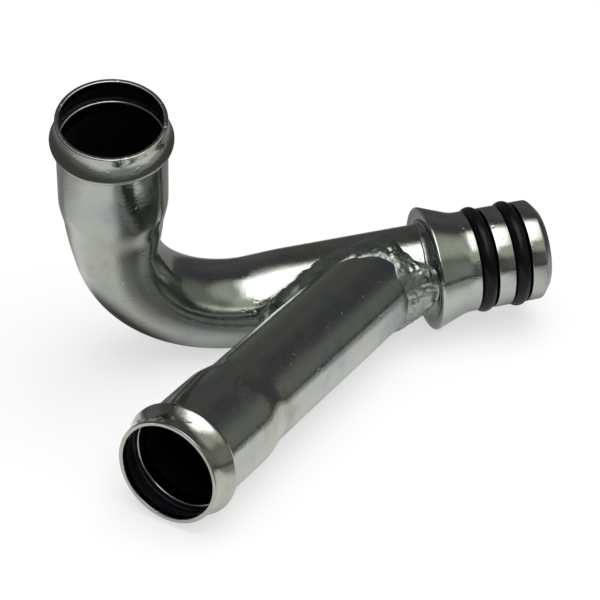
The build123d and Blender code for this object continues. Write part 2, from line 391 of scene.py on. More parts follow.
# %% [markdown]
# The steel is plated with bright zinc, and a thin clear finish over it adds a faint green. To the eye that is
# a soft mirror with a grey-green tint, a little uneven: cloudy where the plating bath drained, with small
# nicks from the other parts in the barrel.
# All the metal pieces share one recipe and differ in its numbers. A photograph of plating could be wrapped
# round them, but a tube has no good way to lay it flat, and it would repeat. So the patterns are noise that
# reads Object coordinates: they lie in the piece, don't slide, and are sized in millimetres.

# %% Recipe for plated metal
# zinc crystals are a few thousandths of a millimetre across, drawn this wide so that they show
grain_width = 0.7 * mm
# waves that a bender's rollers leave, and the height of all the bumps together
wave_length = 6 * mm
bump_height = 0.045 * mm
# nicks are the tips of a noise, each about a third of its width
nick_noise = 1.5 * mm


def metal(name, codes, patch, gloss, bump_share, wave_share, lathe=None):
    """Plated metal: clouds of colour and gloss, grain, slow waves, nicks, and rings along a lathe's axis."""
    made, tree = new_material(name)
    place = add_node(tree, "TexCoord").outputs["Object"]
    clouds = add_node(tree, "TexNoise", {"Vector": place, "Scale": 1 / patch, "Detail": 5.0,
                                         "Roughness": 0.6})
    tint = add_node(tree, "ValToRGB", {"Fac": clouds})
    while len(tint.color_ramp.elements) < len(codes):
        tint.color_ramp.elements.new(0.5)
    # a noise texture's values mostly lie between 0.3 and 0.7, so the colours share out that span
    for i, (element, code) in enumerate(zip(tint.color_ramp.elements, codes)):
        element.position = 0.3 + 0.4 * i / (len(codes) - 1)
        element.color = linear(code)
    # patches of gloss are about half as wide as the clouds of colour
    dull = add_node(tree, "TexNoise", {"Vector": place, "Scale": 1 / (patch * 0.45), "Detail": 6.0})
    rough = add_node(tree, "MapRange", {"Value": dull, "From Min": 0.35, "From Max": 0.68,
                                        "To Min": gloss[0], "To Max": gloss[1]})
    grain = add_node(tree, "TexNoise", {"Vector": place, "Scale": 1 / grain_width, "Detail": 3.0})
    speck = add_node(tree, "MapRange", {"Value": grain, "From Min": 0.35, "From Max": 0.7,
                                        "To Min": -0.015, "To Max": 0.045})
    rough = add_node(tree, "Math", {0: rough, 1: speck})
    height = grain
    if lathe is not None:
        along = add_node(tree, "VectorMath", {0: place, 1: lathe}, operation="DOT_PRODUCT")
        marks = add_node(tree, "TexNoise", {"W": along.outputs["Value"], "Scale": 1.0, "Detail": 2.0},
                         noise_dimensions="1D")
        height = add_node(tree, "Math", {0: marks, 1: 0.5, 2: height}, operation="MULTIPLY_ADD")
    waves = add_node(tree, "TexNoise", {"Vector": place, "Scale": 1 / wave_length, "Detail": 2.0})
    height = add_node(tree, "Math", {0: waves, 1: wave_share, 2: height}, operation="MULTIPLY_ADD")
    spots = add_node(tree, "TexNoise", {"Vector": place, "Scale": 1 / nick_noise, "Detail": 1.0})
    nicks = add_node(tree, "MapRange", {"Value": spots, "From Min": 0.70, "From Max": 0.78,
                                        "To Min": 0.0, "To Max": -1.6})
    height = add_node(tree, "Math", {0: height, 1: nicks})
    bump = add_node(tree, "Bump", {"Height": height, "Strength": bump_share, "Distance": bump_height})
    shader = add_node(tree, "BsdfPrincipled", {"Base Color": tint, "Metallic": 1.0, "Roughness": rough,
                                               "Normal": bump})
    add_node(tree, "OutputMaterial", {"Surface": shader})
    return made


print("plate patterns, mm", grain_width / mm, wave_length / mm, nick_noise / mm)

# %% [markdown]
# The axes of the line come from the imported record: the spigot's bore gives the main axis, and the bores of
# the two hose stubs give the riser and the branch. Later pieces that are easier to draw along the main axis
# are made in the line's own axes, with the back of the collar at zero, and turned to rest by one matrix.

# %% Axes of the line
mounts = {m["name"]: m for m in frame["record"]["mounts"]}
socket_depth = 6.0 * mm
mouth_to_taper = 21.5 * mm
bore_top = 6.0 * mm
branch_length = 88.5 * mm


def axis_of(name):
    """Unit vector along a mount."""
    return Vector(mounts[name]["axis"]).normalized()


def place_of(name):
    """Middle of a mount."""
    return Vector(mounts[name]["pos_m"])


main_dir = axis_of("spigot_bore")
riser_dir = axis_of("elbow_stub_bore")
branch_dir = axis_of("branch_stub_bore")
across_dir = riser_dir.cross(main_dir).normalized()
half_bore = mounts["spigot_bore"]["dims"]["length_mm"] / 2 * mm
collar_back = place_of("spigot_bore") - main_dir * (socket_depth + half_bore)
branch_mouth = place_of("branch_stub_bore") + branch_dir * (bore_top + mouth_to_taper) / 2
joint_point = branch_mouth - branch_dir * branch_length
to_rest = Matrix.Translation(collar_back) @ Matrix(
    [[main_dir[i], across_dir[i], riser_dir[i]] for i in range(3)]).to_4x4()
print("joint behind the collar, mm", round((collar_back - joint_point).length / mm, 2))

# %% [markdown]
# Drawn tube has the brightest plate, since its skin was smooth before plating. Zinc's own colour is a light
# grey; the clouds run from a cooler to a greener grey, 12 mm wide, which is how far a drained film spreads.

# %% Zinc-plated drawn tube
zinc_tube = metal("zinc_plated_drawn_tube", ("979d9e", "a5aaa5", "a8aba1", "95978d"), 12 * mm, (0.08, 0.19),
                  0.5, 2.2)
print(zinc_tube.name)

# %% [markdown]
# The spigot was turned on a lathe before plating. The tool leaves fine rings, about 0.1 mm apart, and they
# are drawn 0.3 mm apart so that they show. The plate over them is a little lighter and more even.

# %% Zinc-plated turned steel
lathe_pitch = 0.3 * mm
zinc_turned = metal("zinc_plated_turned_steel", ("a2a8a6", "adb2ab", "a2a499"), 9 * mm, (0.08, 0.16),
                    0.4, 0.5, main_dir / lathe_pitch)
print(zinc_turned.name)

# %% [markdown]
# Weld and braze metal froze with a rougher skin, so the same plate looks greyer and less sharp on it. Its
# lumps are geometry. Only the clouds, 3 mm wide like the drops of the weld, and a faint grain are painted.

# %% Zinc-plated weld
weld_metal = metal("zinc_plated_weld", ("828a87", "989e97", "7a7c78"), 3 * mm, (0.20, 0.34), 0.14, 0.0)
print(weld_metal.name)

# %% [markdown]
# Plating hardly reaches into a narrow bore, so the steel inside stays dull, and its dark colours are partly
# painted shade, for the shade deep in the bore. The same recipe gives it, with darker colours and a rough
# skin. Only the lip and the step behind the bead are bright.

# %% Thinly plated bore, with painted shade
# painted shade: the bore's dark colours stand partly for the shade inside it
bore_skin_and_shade = metal("thin_plated_bore_and_painted_shade", ("36363e", "4c4c56"), 4 * mm, (0.5, 0.65), 0.5, 0.0)
print(bore_skin_and_shade.name)

# %% [markdown]
# The seal rings are nitrile rubber, pressed in a polished steel mould. That leaves them nearly black and
# satin, with a slightly greyer bloom in places, some 5 mm across. The mould's own texture is about 0.02 mm
# wide. It is drawn 0.35 mm wide and very low, so that the highlight is not perfectly smooth. A clean mirror
# coat would look like wet paint, so the specular level is held down instead.

# %% Moulded rubber
bloom_width = 5 * mm
mould_texture = 0.35 * mm
seal_rubber, tree = new_material("moulded_nitrile_rubber")
place = add_node(tree, "TexCoord").outputs["Object"]
bloom = add_node(tree, "TexNoise", {"Vector": place, "Scale": 1 / bloom_width, "Detail": 4.0})
tint = add_node(tree, "ValToRGB", {"Fac": bloom})
for element, (place_on_ramp, code) in zip(tint.color_ramp.elements, ((0.35, "070709"), (0.7, "0d0d10"))):
    element.position = place_on_ramp
    element.color = linear(code)
rough = add_node(tree, "MapRange", {"Value": bloom, "From Min": 0.35, "From Max": 0.7,
                                    "To Min": 0.22, "To Max": 0.32})
texture = add_node(tree, "TexNoise", {"Vector": place, "Scale": 1 / mould_texture, "Detail": 2.0})
bump = add_node(tree, "Bump", {"Height": texture, "Strength": 0.3, "Distance": 0.01 * mm})
shader = add_node(tree, "BsdfPrincipled", {"Base Color": tint, "Roughness": rough,
                                           "Specular IOR Level": 0.16, "Normal": bump})
add_node(tree, "OutputMaterial", {"Surface": shader})
print(seal_rubber.name)

# %% [markdown]
# Both tubes end in the same hose stub: an expanded neck, a rolled bead that grips the hose, and a plain lip.
# Their sizes come first, as distances from the mouth, because the hose sees the stub from there.

# %% Hose stub sizes
tube_r = 10.0 * mm
tube_wall = 1.0 * mm
stub_r = 11.0 * mm
stub_wall = 0.9 * mm
bead_height = 1.2 * mm
bead_front = 1.5 * mm
bead_crest = 5.3 * mm
bead_hollow = 1.7
taper_length = 7.5 * mm
lip_round = 0.22 * mm
inner_r = stub_r - stub_wall
bore_r = tube_r - tube_wall
taper_foot = mouth_to_taper + taper_length


def smooth_step(t):
    """Eases from 0 to 1 as t goes from 0 to 1."""
    t = min(1.0, max(0.0, t))
    return t * t * (3 - 2 * t)


def steps(first, last, count):
    """Evenly spread values from first to last, both included."""
    return [first + (last - first) * i / count for i in range(count + 1)]


print("stub outside, mm across", round(stub_r * 2 / mm, 2), "bead", round((stub_r + bead_height) * 2 / mm, 2))

# %% [markdown]
# The wall of the stub is drawn as steps down the outside and back up the inside, each a distance from the
# mouth and a radius. A profile could be spun instead, but the elbow's stub grows out of a bend. Plain steps
# serve both stubs. The bead rises in a quarter round and falls in a hollow curve, as the roller forms it.


# %% Hose stub outline
def stub_outside():
    """(distance from the mouth, radius) of the stub's skin, from the taper's foot up to the lip."""
    rows = [(taper_foot - taper_length * t, tube_r + (stub_r - tube_r) * smooth_step(t))
            for t in steps(0, 1, 14)]
    rows += [(d, stub_r) for d in steps(mouth_to_taper, bead_crest + bead_height * 1.12, 10)[1:]]
    for turn in steps(0, 90, 8):
        a = math.radians(turn)
        rows.append((bead_crest + bead_height * math.cos(a), stub_r + bead_height * math.sin(a)))
    for t in steps(0, 1, 12)[1:]:
        fall = bead_height * (1 - t) ** bead_hollow
        rows.append((bead_crest + (bead_front - bead_crest) * t, stub_r + fall))
    rows += [(lip_round * (1 + 2 * t), stub_r) for t in (1, 0.4, 0)]
    for turn in steps(0, 90, 5)[1:]:
        a = math.radians(turn)
        rows.append((lip_round * (1 - math.sin(a)), stub_r - lip_round * (1 - math.cos(a))))
    return rows


def stub_inside():
    """(distance from the mouth, radius) of the stub's inner wall, from the lip down to the taper's foot."""
    inner_crest_r = stub_r + bead_height - stub_wall
    rows = []
    for turn in steps(0, 90, 5):
        a = math.radians(turn)
        rows.append((lip_round * (1 - math.cos(a)), inner_r + lip_round * (1 - math.sin(a))))
    for t in steps(0, 1, 10):
        rise = (inner_crest_r - inner_r) * smooth_step(t)
        rows.append((bead_front + (bead_crest - bead_front) * t, inner_r + rise))
    root = bead_height - stub_wall
    for turn in steps(90, 0, 4)[1:]:
        a = math.radians(turn)
        rows.append((bead_crest + root * math.cos(a), stub_r + root * math.sin(a)))
    fold = bead_crest + root
    edge = bore_top - fold
    for turn in steps(0, 90, 5):
        a = math.radians(turn)
        rows.append((fold + edge * (1 - math.cos(a)), inner_r + edge * (1 - math.sin(a))))
    rows += [(d, inner_r) for d in steps(bore_top, mouth_to_taper, 6)[1:]]
    rows += [(mouth_to_taper + taper_length * t, inner_r + (bore_r - inner_r) * smooth_step(t))
             for t in steps(0, 1, 8)[1:]]
    return rows


print("stub steps, outside and inside", len(stub_outside()), len(stub_inside()))

# %% [markdown]
# A tube is drawn the way it is made: a ring is pulled along the centreline and resized as it goes. Extruding
# the ring's edges and moving the new ring by a matrix does this with Blender's own operators, and the two
# ends are bridged to close the wall at the cut. A curve with a round bevel would be quicker, but it can't
# make the bead, the taper and the inner wall.

# %% Pulling a ring along a route
ring_points = 128


def place_ring(centre, across, up, half_across, half_up):
    """Matrix that puts a unit circle at a point, with its two half widths along two directions."""
    columns = (across * half_across, up * half_up, across.cross(up) * mm)
    turned = Matrix([[columns[j][i] for j in range(3)] for i in range(3)]).to_4x4()
    turned.translation = centre
    return turned


def grow_ring(bm, edges):
    """Extrudes a ring of edges. Returns the new ring's points and edges, and the faces in between."""
    grown = bmesh.ops.extrude_edge_only(bm, edges=edges)["geom"]
    points = {g for g in grown if isinstance(g, bmesh.types.BMVert)}
    edges = [g for g in grown if isinstance(g, bmesh.types.BMEdge) and all(v in points for v in g.verts)]
    return points, edges, [g for g in grown if isinstance(g, bmesh.types.BMFace)]


def pull_ring(bm, places, skins):
    """Pulls a ring through a list of places, with a finish number for each step, and joins its two ends."""
    ring = bmesh.ops.create_circle(bm, segments=ring_points, radius=1.0, matrix=places[0])["verts"]
    edges = list({e for v in ring for e in v.link_edges})
    first = edges
    for before, after, skin in zip(places, places[1:], skins):
        ring, edges, faces = grow_ring(bm, edges)
        for face in faces:
            face.material_index = skin
        bmesh.ops.transform(bm, matrix=after @ before.inverted(), verts=list(ring))
    bmesh.ops.bridge_loops(bm, edges=first + edges)


print("points round a tube", ring_points)

# %% [markdown]
# A tube has two finishes: bright outside, and dull with painted shade in the bore. Painting them by height or
# distance would blur at the lip, so each step of the ring gets a finish number. In the bore only the lip and
# the edge of the step behind the bead stay bright, as the plate reaches them.


# %% Finish numbers along a tube
def skins_of(before, inside, after):
    """Finish numbers, 0 for bright and 1 for dull with painted shade, for the steps before, in and after the
    stub.
    """
    step_start = bead_crest + bead_height - stub_wall - 0.01 * mm
    step_end = bore_top + 0.02 * mm
    skins = [0] * (before + len(stub_outside()))
    for distance, radius in inside[:-1]:
        lip = distance < lip_round * 1.2
        step_edge = step_start < distance < step_end and radius < inner_r + 0.3 * mm
        skins.append(0 if lip or step_edge else 1)
    return skins + [1] * after


print("bright steps inside a stub", skins_of(0, stub_inside(), 0)[len(stub_outside()):].count(0))

# %% [markdown]
# Every finished piece rides on the part's only body, and the packed nodes that it stands for are hidden.
# Before that its faces are turned outwards, because a ring that is pulled and bridged can come out inside
# out. Smooth shading hides the small faces, and the rounds at the edges are real, so no edge needs to be
# marked sharp.


# %% Finishing a piece
def finish_piece(bm, name, materials, slot, *nodes):
    """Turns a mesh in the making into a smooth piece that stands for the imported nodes."""
    bmesh.ops.recalc_face_normals(bm, faces=bm.faces[:])
    mesh = bpy.data.meshes.new(name)
    bm.to_mesh(mesh)
    bm.free()
    mesh.polygons.foreach_set("use_smooth", [True] * len(mesh.polygons))
    for material in materials:
        mesh.materials.append(material)
    made = add_object(name, mesh)
    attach(made, "root")
    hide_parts(*nodes)
    print(name, "faces", len(mesh.polygons))
    return made


# %% [markdown]
# The main tube is 20 mm drawn steel tube, 1 mm thick, cold bent to a radius of one and a half diameters.
# Bending flattens it a little, as the photograph shows, so the ring gets lower and slightly wider through
# the bend and comes back to round before the hose stub. A lattice could squash a finished tube, but here the
# size of each ring says it directly.

# %% Main tube
main_straight = 38.3 * mm
bend_radius = 30.0 * mm
arc_length = bend_radius * math.pi / 2
stub_rise = 32.7 * mm
bend_low = 0.11
bend_wide = 0.01
flat_before_bend = 8.0 * mm
flat_rise = 12.0 * mm
flat_past_bend = 5.0 * mm
flat_fall = 10.2 * mm
bend_start = collar_back - main_dir * main_straight


def flattening(s):
    """Share of the full flattening at a distance s past the start of the bend."""
    rise = smooth_step((s + flat_before_bend) / flat_rise)
    fall = smooth_step((arc_length + flat_past_bend - s) / flat_fall)
    return min(rise, fall)


def main_place(s, radius, wall=0.0):
    """Ring of the main tube at a distance s past the start of the bend."""
    bent = min(max(s, 0.0), arc_length)
    turned = bent / bend_radius
    heading = riser_dir * math.sin(turned) - main_dir * math.cos(turned)
    centre = bend_start - main_dir * bend_radius * math.sin(turned)
    centre = centre + riser_dir * bend_radius * (1 - math.cos(turned))
    share = flattening(s)
    return place_ring(centre + heading * (s - bent), across_dir, heading.cross(across_dir),
                      radius * (1 + bend_wide * share) - wall, radius * (1 - bend_low * share) - wall)


start = -main_straight - socket_depth
mouth = arc_length + stub_rise
foot = mouth - taper_foot
outside = [main_place(s, tube_r) for s in steps(start, foot, 90)[:-1]]
stub = [main_place(mouth - d, r) for d, r in stub_outside() + stub_inside()]
inside = [main_place(s, tube_r, tube_wall) for s in steps(foot, start, 70)[1:]]
bm = bmesh.new()
pull_ring(bm, outside + stub + inside, skins_of(len(outside), stub_inside(), len(inside)))
main_tube = finish_piece(bm, "main_tube_drawn", [zinc_tube, bore_skin_and_shade], "tube_steel", "main_tube")

# %% [markdown]
# Behind the branch a round port, a little smaller than the branch's bore, lets the two tubes into each
# other. It could be left open while the tube is pulled, but only a cut gives a clean edge across the wall. So
# it is drilled here too, by a Boolean modifier with a drill-shaped cutter. The result is stored in the mesh,
# and the cutter is thrown away.

# %% Port in the main tube
port_r = 8.5 * mm
port_depth = 30 * mm
drill_turn = branch_dir.to_track_quat("Z", "X").to_matrix().to_4x4()
drill_turn.translation = joint_point
bm = bmesh.new()
bmesh.ops.create_cone(bm, cap_ends=True, segments=96, radius1=port_r, radius2=port_r, depth=port_depth,
                      matrix=drill_turn @ Matrix.Translation((0, 0, port_depth / 2)))
drill_mesh = bpy.data.meshes.new("port_drill")
bm.to_mesh(drill_mesh)
bm.free()
drill_mesh.materials.append(bore_skin_and_shade)
drill = add_object("port_drill", drill_mesh)
cut = main_tube.modifiers.new("port", "BOOLEAN")
cut.object = drill
cut.solver = "EXACT"
cut.material_mode = "TRANSFER"
bpy.context.view_layer.update()
ported = bpy.data.meshes.new_from_object(main_tube.evaluated_get(bpy.context.evaluated_depsgraph_get()))
main_tube.modifiers.clear()
main_tube.data = ported
bpy.data.objects.remove(drill)
print("main tube with its port, faces", len(ported.polygons), [m.name for m in ported.materials])

# %% [markdown]
# The branch is the same tube, straight, and its foot is cut to a saddle that fits the main tube's side. A
# Boolean could cut the saddle, but it leaves long thin faces, which catch the light. So a plain tube is
# pulled first, and then the rings near its foot slide down along the branch until the last one lies on the
# main tube's skin. That bends the cut and keeps the section round.

# %% Branch tube
saddle_reach = 30 * mm
crotch_dir = (-main_dir - branch_dir * branch_dir.dot(-main_dir)).normalized()
turn_dir = branch_dir.cross(crotch_dir)


def skin_distance(radius, turn):
    """How far along the branch a line on its wall, at an angle from the crotch, leaves the main tube."""
    start = joint_point + (crotch_dir * math.cos(turn) + turn_dir * math.sin(turn)) * radius - collar_back
    flat_start = start - main_dir * start.dot(main_dir)
    flat_dir = branch_dir - main_dir * branch_dir.dot(main_dir)
    a, b, c = flat_dir.dot(flat_dir), flat_start.dot(flat_dir), flat_start.dot(flat_start) - tube_r ** 2
    return (-b + math.sqrt(max(0.0, b * b - a * c))) / a


def branch_place(s, radius):
    """Ring of the branch at a distance s from the joint."""
    return place_ring(joint_point + branch_dir * s, crotch_dir, turn_dir, radius, radius)


def saddle_foot(bm, radius):
    """Slides the rings near the foot down to the skin of the main tube."""
    for v in bm.verts:
        out = v.co - joint_point
        s = out.dot(branch_dir)
        flat = out - branch_dir * s
        if s < saddle_reach and abs(flat.length - radius) < 0.05 * mm:
            turn = math.atan2(flat.dot(turn_dir), flat.dot(crotch_dir))
            low = skin_distance(radius, turn)
            v.co += branch_dir * ((low + (saddle_reach - low) * s / saddle_reach) - s)


stub_foot = branch_length - taper_foot
outside = [branch_place(s, tube_r) for s in steps(0, saddle_reach, 12)]
outside += [branch_place(s, tube_r) for s in steps(saddle_reach, stub_foot, 16)[1:-1]]
stub = [branch_place(branch_length - d, r) for d, r in stub_outside() + stub_inside()]
inside = [branch_place(s, bore_r) for s in steps(stub_foot, saddle_reach, 8)[1:]]
inside += [branch_place(s, bore_r) for s in steps(saddle_reach, 0, 12)[1:]]
bm = bmesh.new()
pull_ring(bm, outside + stub + inside, skins_of(len(outside), stub_inside(), len(inside)))
saddle_foot(bm, tube_r)
saddle_foot(bm, bore_r)
finish_piece(bm, "branch_tube_drawn", [zinc_tube, bore_skin_and_shade], "tube_steel", "branch_tube")

# %% [markdown]
# The spigot pushes into a housing. It was turned from bar: a flared collar that stops it, two grooves for
# the seal rings, a chamfered nose and a bore. Cylinders could be joined by Booleans, but a turned part is one
# outline spun round its axis, which is also how the lathe makes it. Its small edge rounds are bevels on the
# outline's corners.

# %% Spigot
spigot_r = 11.0 * mm
collar_r = 13.75 * mm
cone_length = 7.5 * mm
groove_floor_r = 8.1 * mm
groove_width = 3.9 * mm
groove_centres = (11.8 * mm, 19.4 * mm)
spigot_bore_r = 7.0 * mm
spigot_length = 26.3 * mm
nose_chamfer = (1.7 * mm, 2.0 * mm)
socket_r = 10.03 * mm
ease = 0.15 * mm
rim_round = 0.77 * mm
cone_round = 1.2 * mm
full_turn = 160


def spin_round(bm):
    """Spins everything once round the main axis, and closes it."""
    bmesh.ops.spin(bm, geom=bm.verts[:] + bm.edges[:], cent=(0, 0, 0), axis=(1, 0, 0), angle=math.tau,
                   steps=full_turn, use_merge=True)


def spin_outline(corners):
    """Spins an outline of (distance along the axis, radius, corner round)."""
    bm = bmesh.new()
    points = [bm.verts.new((x, r, 0)) for x, r, _ in corners]
    bm.faces.new(points)
    for point, (_, _, corner_round) in zip(points, corners):
        if corner_round > 0:
            bmesh.ops.bevel(bm, geom=[point], affect="VERTICES", offset=corner_round, segments=5,
                            profile=0.5, material=-1)
    bmesh.ops.delete(bm, geom=bm.faces[:], context="FACES_ONLY")
    spin_round(bm)
    return bm


corners = [(0, socket_r, 0), (0, collar_r, rim_round), (cone_length, spigot_r, cone_round)]
for centre in groove_centres:
    near, far = centre - groove_width / 2, centre + groove_width / 2
    corners += [(near, spigot_r, ease), (near, groove_floor_r, ease)]
    corners += [(far, groove_floor_r, ease), (far, spigot_r, ease)]
corners += [(spigot_length - nose_chamfer[0], spigot_r, 0.24 * mm)]
corners += [(spigot_length, spigot_r - nose_chamfer[1], 0.2 * mm)]
corners += [(spigot_length, spigot_bore_r, ease), (socket_depth, spigot_bore_r, ease)]
corners += [(socket_depth, socket_r, 0)]
bm = spin_outline(corners)
bmesh.ops.transform(bm, matrix=to_rest, verts=bm.verts[:])
finish_piece(bm, "spigot_turned", [zinc_turned], "turned_steel", "spigot")

# %% [markdown]
# The two seal rings are O-rings with a 3.5 mm section. Each stands a little proud of the spigot, which is
# what lets it seal against the housing's bore. Blender has a ready torus, but a circle spun round the same
# axis as the grooves can't end up out of line with them.

# %% Seal rings
seal_section = 3.5 * mm
seal_clearance = 0.02 * mm
ring_r = groove_floor_r + seal_clearance + seal_section / 2
for centre, node in zip(groove_centres, ("seal_ring_inner", "seal_ring_outer")):
    bm = bmesh.new()
    bmesh.ops.create_circle(bm, segments=48, radius=seal_section / 2,
                            matrix=Matrix.Translation((centre, ring_r, 0)))
    spin_round(bm)
    bmesh.ops.transform(bm, matrix=to_rest, verts=bm.verts[:])
    finish_piece(bm, node + "_moulded", [seal_rubber], "seal_rubber", node)

# %% [markdown]
# The weld runs round the whole joint between the branch and the main tube. In the crotch it is a smooth
# hollow fillet with a scalloped edge, one scallop for each drop. On top and at the heel it stands proud and
# is lumpy and pitted, and at the heel it reaches the collar.
# No single operator draws that, so it is a closed cross-section that changes as it is pulled round. The
# tables below say where its two edges, the toes, lie: on the main tube and on the branch.

# %% Weld tables
# angle round the branch from the crotch, then the toe on the main tube: place along it in mm, angle round it
main_toe_rows = ((-180, -0.5, 0), (-165, -0.5, -15), (-152, -0.6, -29), (-146, -1.6, -35),
                 (-143, -3.1, -37), (-139, -4.3, -41), (-130, -5.2, -50), (-123, -6.7, -57),
                 (-108, -7.0, -72), (-97, -8.0, -84), (-90, -10.5, -89), (-86, -14.0, -88),
                 (-80, -18.0, -82), (-73, -21.4, -73), (-67, -24.4, -67), (-56, -27.1, -55),
                 (-51, -29.1, -52), (-43, -31.4, -43), (-37, -33.4, -36), (-34, -34.7, -35),
                 (-28, -36.5, -28), (-18, -38.3, -18), (-12, -39.5, -12), (0, -39.4, 0), (30, -34.9, 34),
                 (60, -23.7, 66), (90, -9.0, 96), (120, -5.2, 66), (150, -2.9, 33), (165, -1.5, 16),
                 (180, -0.5, 0))
# the same angle, then the toe on the branch: distance along it in mm
branch_toe_rows = ((-180, 9.0), (-162, 9.7), (-146, 10.4), (-130, 8.2), (-111, 8.8), (-102, 10.4),
                   (-90, 12.2), (-79, 13.5), (-66, 17.0), (-58, 20.0), (-50, 25.0), (-46, 28.0),
                   (-30, 31.5), (0, 33.0), (30, 30.5), (60, 22.0), (90, 11.0), (120, 9.3), (138, 7.7),
                   (166, 9.2), (180, 9.0))
# the same angle, then how proud the weld stands, and how lumpy it is, in mm
crown_rows = ((-180, 0.6), (-150, 0.6), (-120, 0.75), (-100, 0.8), (-85, 0.8), (-72, 0.7), (-58, 0.4),
              (-45, 0.1), (0, 0.0), (60, 0.15), (90, 0.8), (120, 0.9), (180, 0.9))
lump_rows = ((-180, 0.2), (-150, 0.26), (-120, 0.26), (-100, 0.2), (-85, 0.08), (-70, 0.015), (-50, 0.0),
             (0, 0.03), (40, 0.08), (80, 0.14), (130, 0.2), (180, 0.22))


def between(rows, turn, column=1):
    """Value of a column of a table at an angle, between its neighbours."""
    for low, high in zip(rows, rows[1:]):
        if turn <= high[0]:
            share = (turn - low[0]) / (high[0] - low[0])
            return low[column] + (high[column] - low[column]) * share
    return rows[-1][column]


print("weld stands proud at the heel, mm", between(crown_rows, 180))

# %% [markdown]
# Both toes lie on round tubes, so a point on a tube's skin is a distance along its axis and an angle round
# it. The weld is worked out in the line's own axes, where the main tube lies along x.

# %% Points on the two skins
joint_x = -8.4 * mm
lean = math.radians(45)
side_dir = Vector((0, branch_dir.dot(across_dir), branch_dir.dot(riser_dir))).normalized()
down_dir = Vector((1, 0, 0)).cross(side_dir)
arm_dir = Vector((-math.cos(lean), 0, 0)) + side_dir * math.sin(lean)
arm_crotch = Vector((-math.sin(lean), 0, 0)) - side_dir * math.cos(lean)
arm_turn = arm_dir.cross(arm_crotch)
joint = Vector((joint_x, 0, 0))


def main_skin(x, degrees, proud=0.0):
    """Point on the main tube, and the direction out of it there."""
    a = math.radians(degrees)
    out = side_dir * math.cos(a) + down_dir * math.sin(a)
    return Vector((x, 0, 0)) + out * (tube_r + proud), out


def arm_skin(s, degrees, proud=0.0):
    """Point on the branch, and the direction out of it there."""
    a = math.radians(degrees)
    out = arm_crotch * math.cos(a) + arm_turn * math.sin(a)
    return joint + arm_dir * s + out * (tube_r + proud), out


def root_line(turn):
    """Point where the two skins meet, at an angle round the branch."""
    half = math.tan(lean / 2)
    cos_turn = math.cos(math.radians(turn))
    return arm_skin(tube_r * (cos_turn / half if cos_turn > 0 else -cos_turn * half), turn)[0]


print("the skins meet in the crotch, mm behind the collar", round(-root_line(0).x / mm, 1))

# %% [markdown]
# One cross-section starts at the toe on the main tube, swells or sags towards the line where the tubes meet,
# ends at the toe on the branch, and comes back below the skins to close itself. Where the weld reaches the
# collar, its toe climbs on to the collar's back face. Noise makes the lumps, about 2 mm, the ripples, under
# 1 mm, and the pits, and a slower noise leaves some patches smoother, since no weld is evenly rough. A
# Displace modifier could do that too, but it would also move the toes off the tubes.

# %% Cross-section of the weld
outer_points = 46
under_points = 6
scallop = 3.1 * mm
scallop_depth = 0.55 * mm
toe_wander = 0.6 * mm
toe_sink = 0.06 * mm
edge_height = 0.10 * mm
# the climb on to the collar: where it starts and ends behind the collar's back face, and how high it gets
climb_start = 4.4 * mm
climb_end = 0.4 * mm
climb_height = 1.6 * mm
# widths of the lumps, ripples, pits and smoother patches
lump_width = 1.9 * mm
ripple_width = 0.8 * mm
pit_width = 1.7 * mm
patch_width = 3.2 * mm


def toe_ends(turn, length):
    """The two toes at an angle, the directions out of the tubes there, and the share of the climb."""
    main_x = min(between(main_toe_rows, turn) * mm, -climb_end)
    climb = smooth_step((main_x + climb_start) / (climb_start - climb_end))
    # as the toe climbs it swings towards the heel and closes up on the collar
    main_turn = between(main_toe_rows, turn, 2) * (1 - 0.35 * climb)
    main_toe, main_out = main_skin(main_x * (1 - 0.85 * climb), main_turn, climb_height * climb - toe_sink)
    wander = noise.noise(Vector((length / (4 * mm), 3, 0))) * (0.6 if abs(turn) > 80 else 0.1) * mm
    arm_toe, arm_out = arm_skin(between(branch_toe_rows, turn) * mm + wander, turn, -toe_sink)
    return main_toe, main_out, arm_toe, arm_out, climb


def lumps(here):
    """Height of the lumps, ripples and pits at a point, in shares of the lumpiness."""
    coarse = noise.noise(here / lump_width)
    fine = noise.noise(here / ripple_width + Vector((5, 5, 5)))
    pit = min(0.0, noise.noise(here / pit_width + Vector((9, 1, 4))) + 0.3)
    patch = 0.55 + 0.65 * smooth_step((noise.noise(here / patch_width + Vector((2, 7, 1))) + 0.2) / 0.4)
    return (0.9 * coarse + 0.6 * fine) * patch + 2.2 * pit


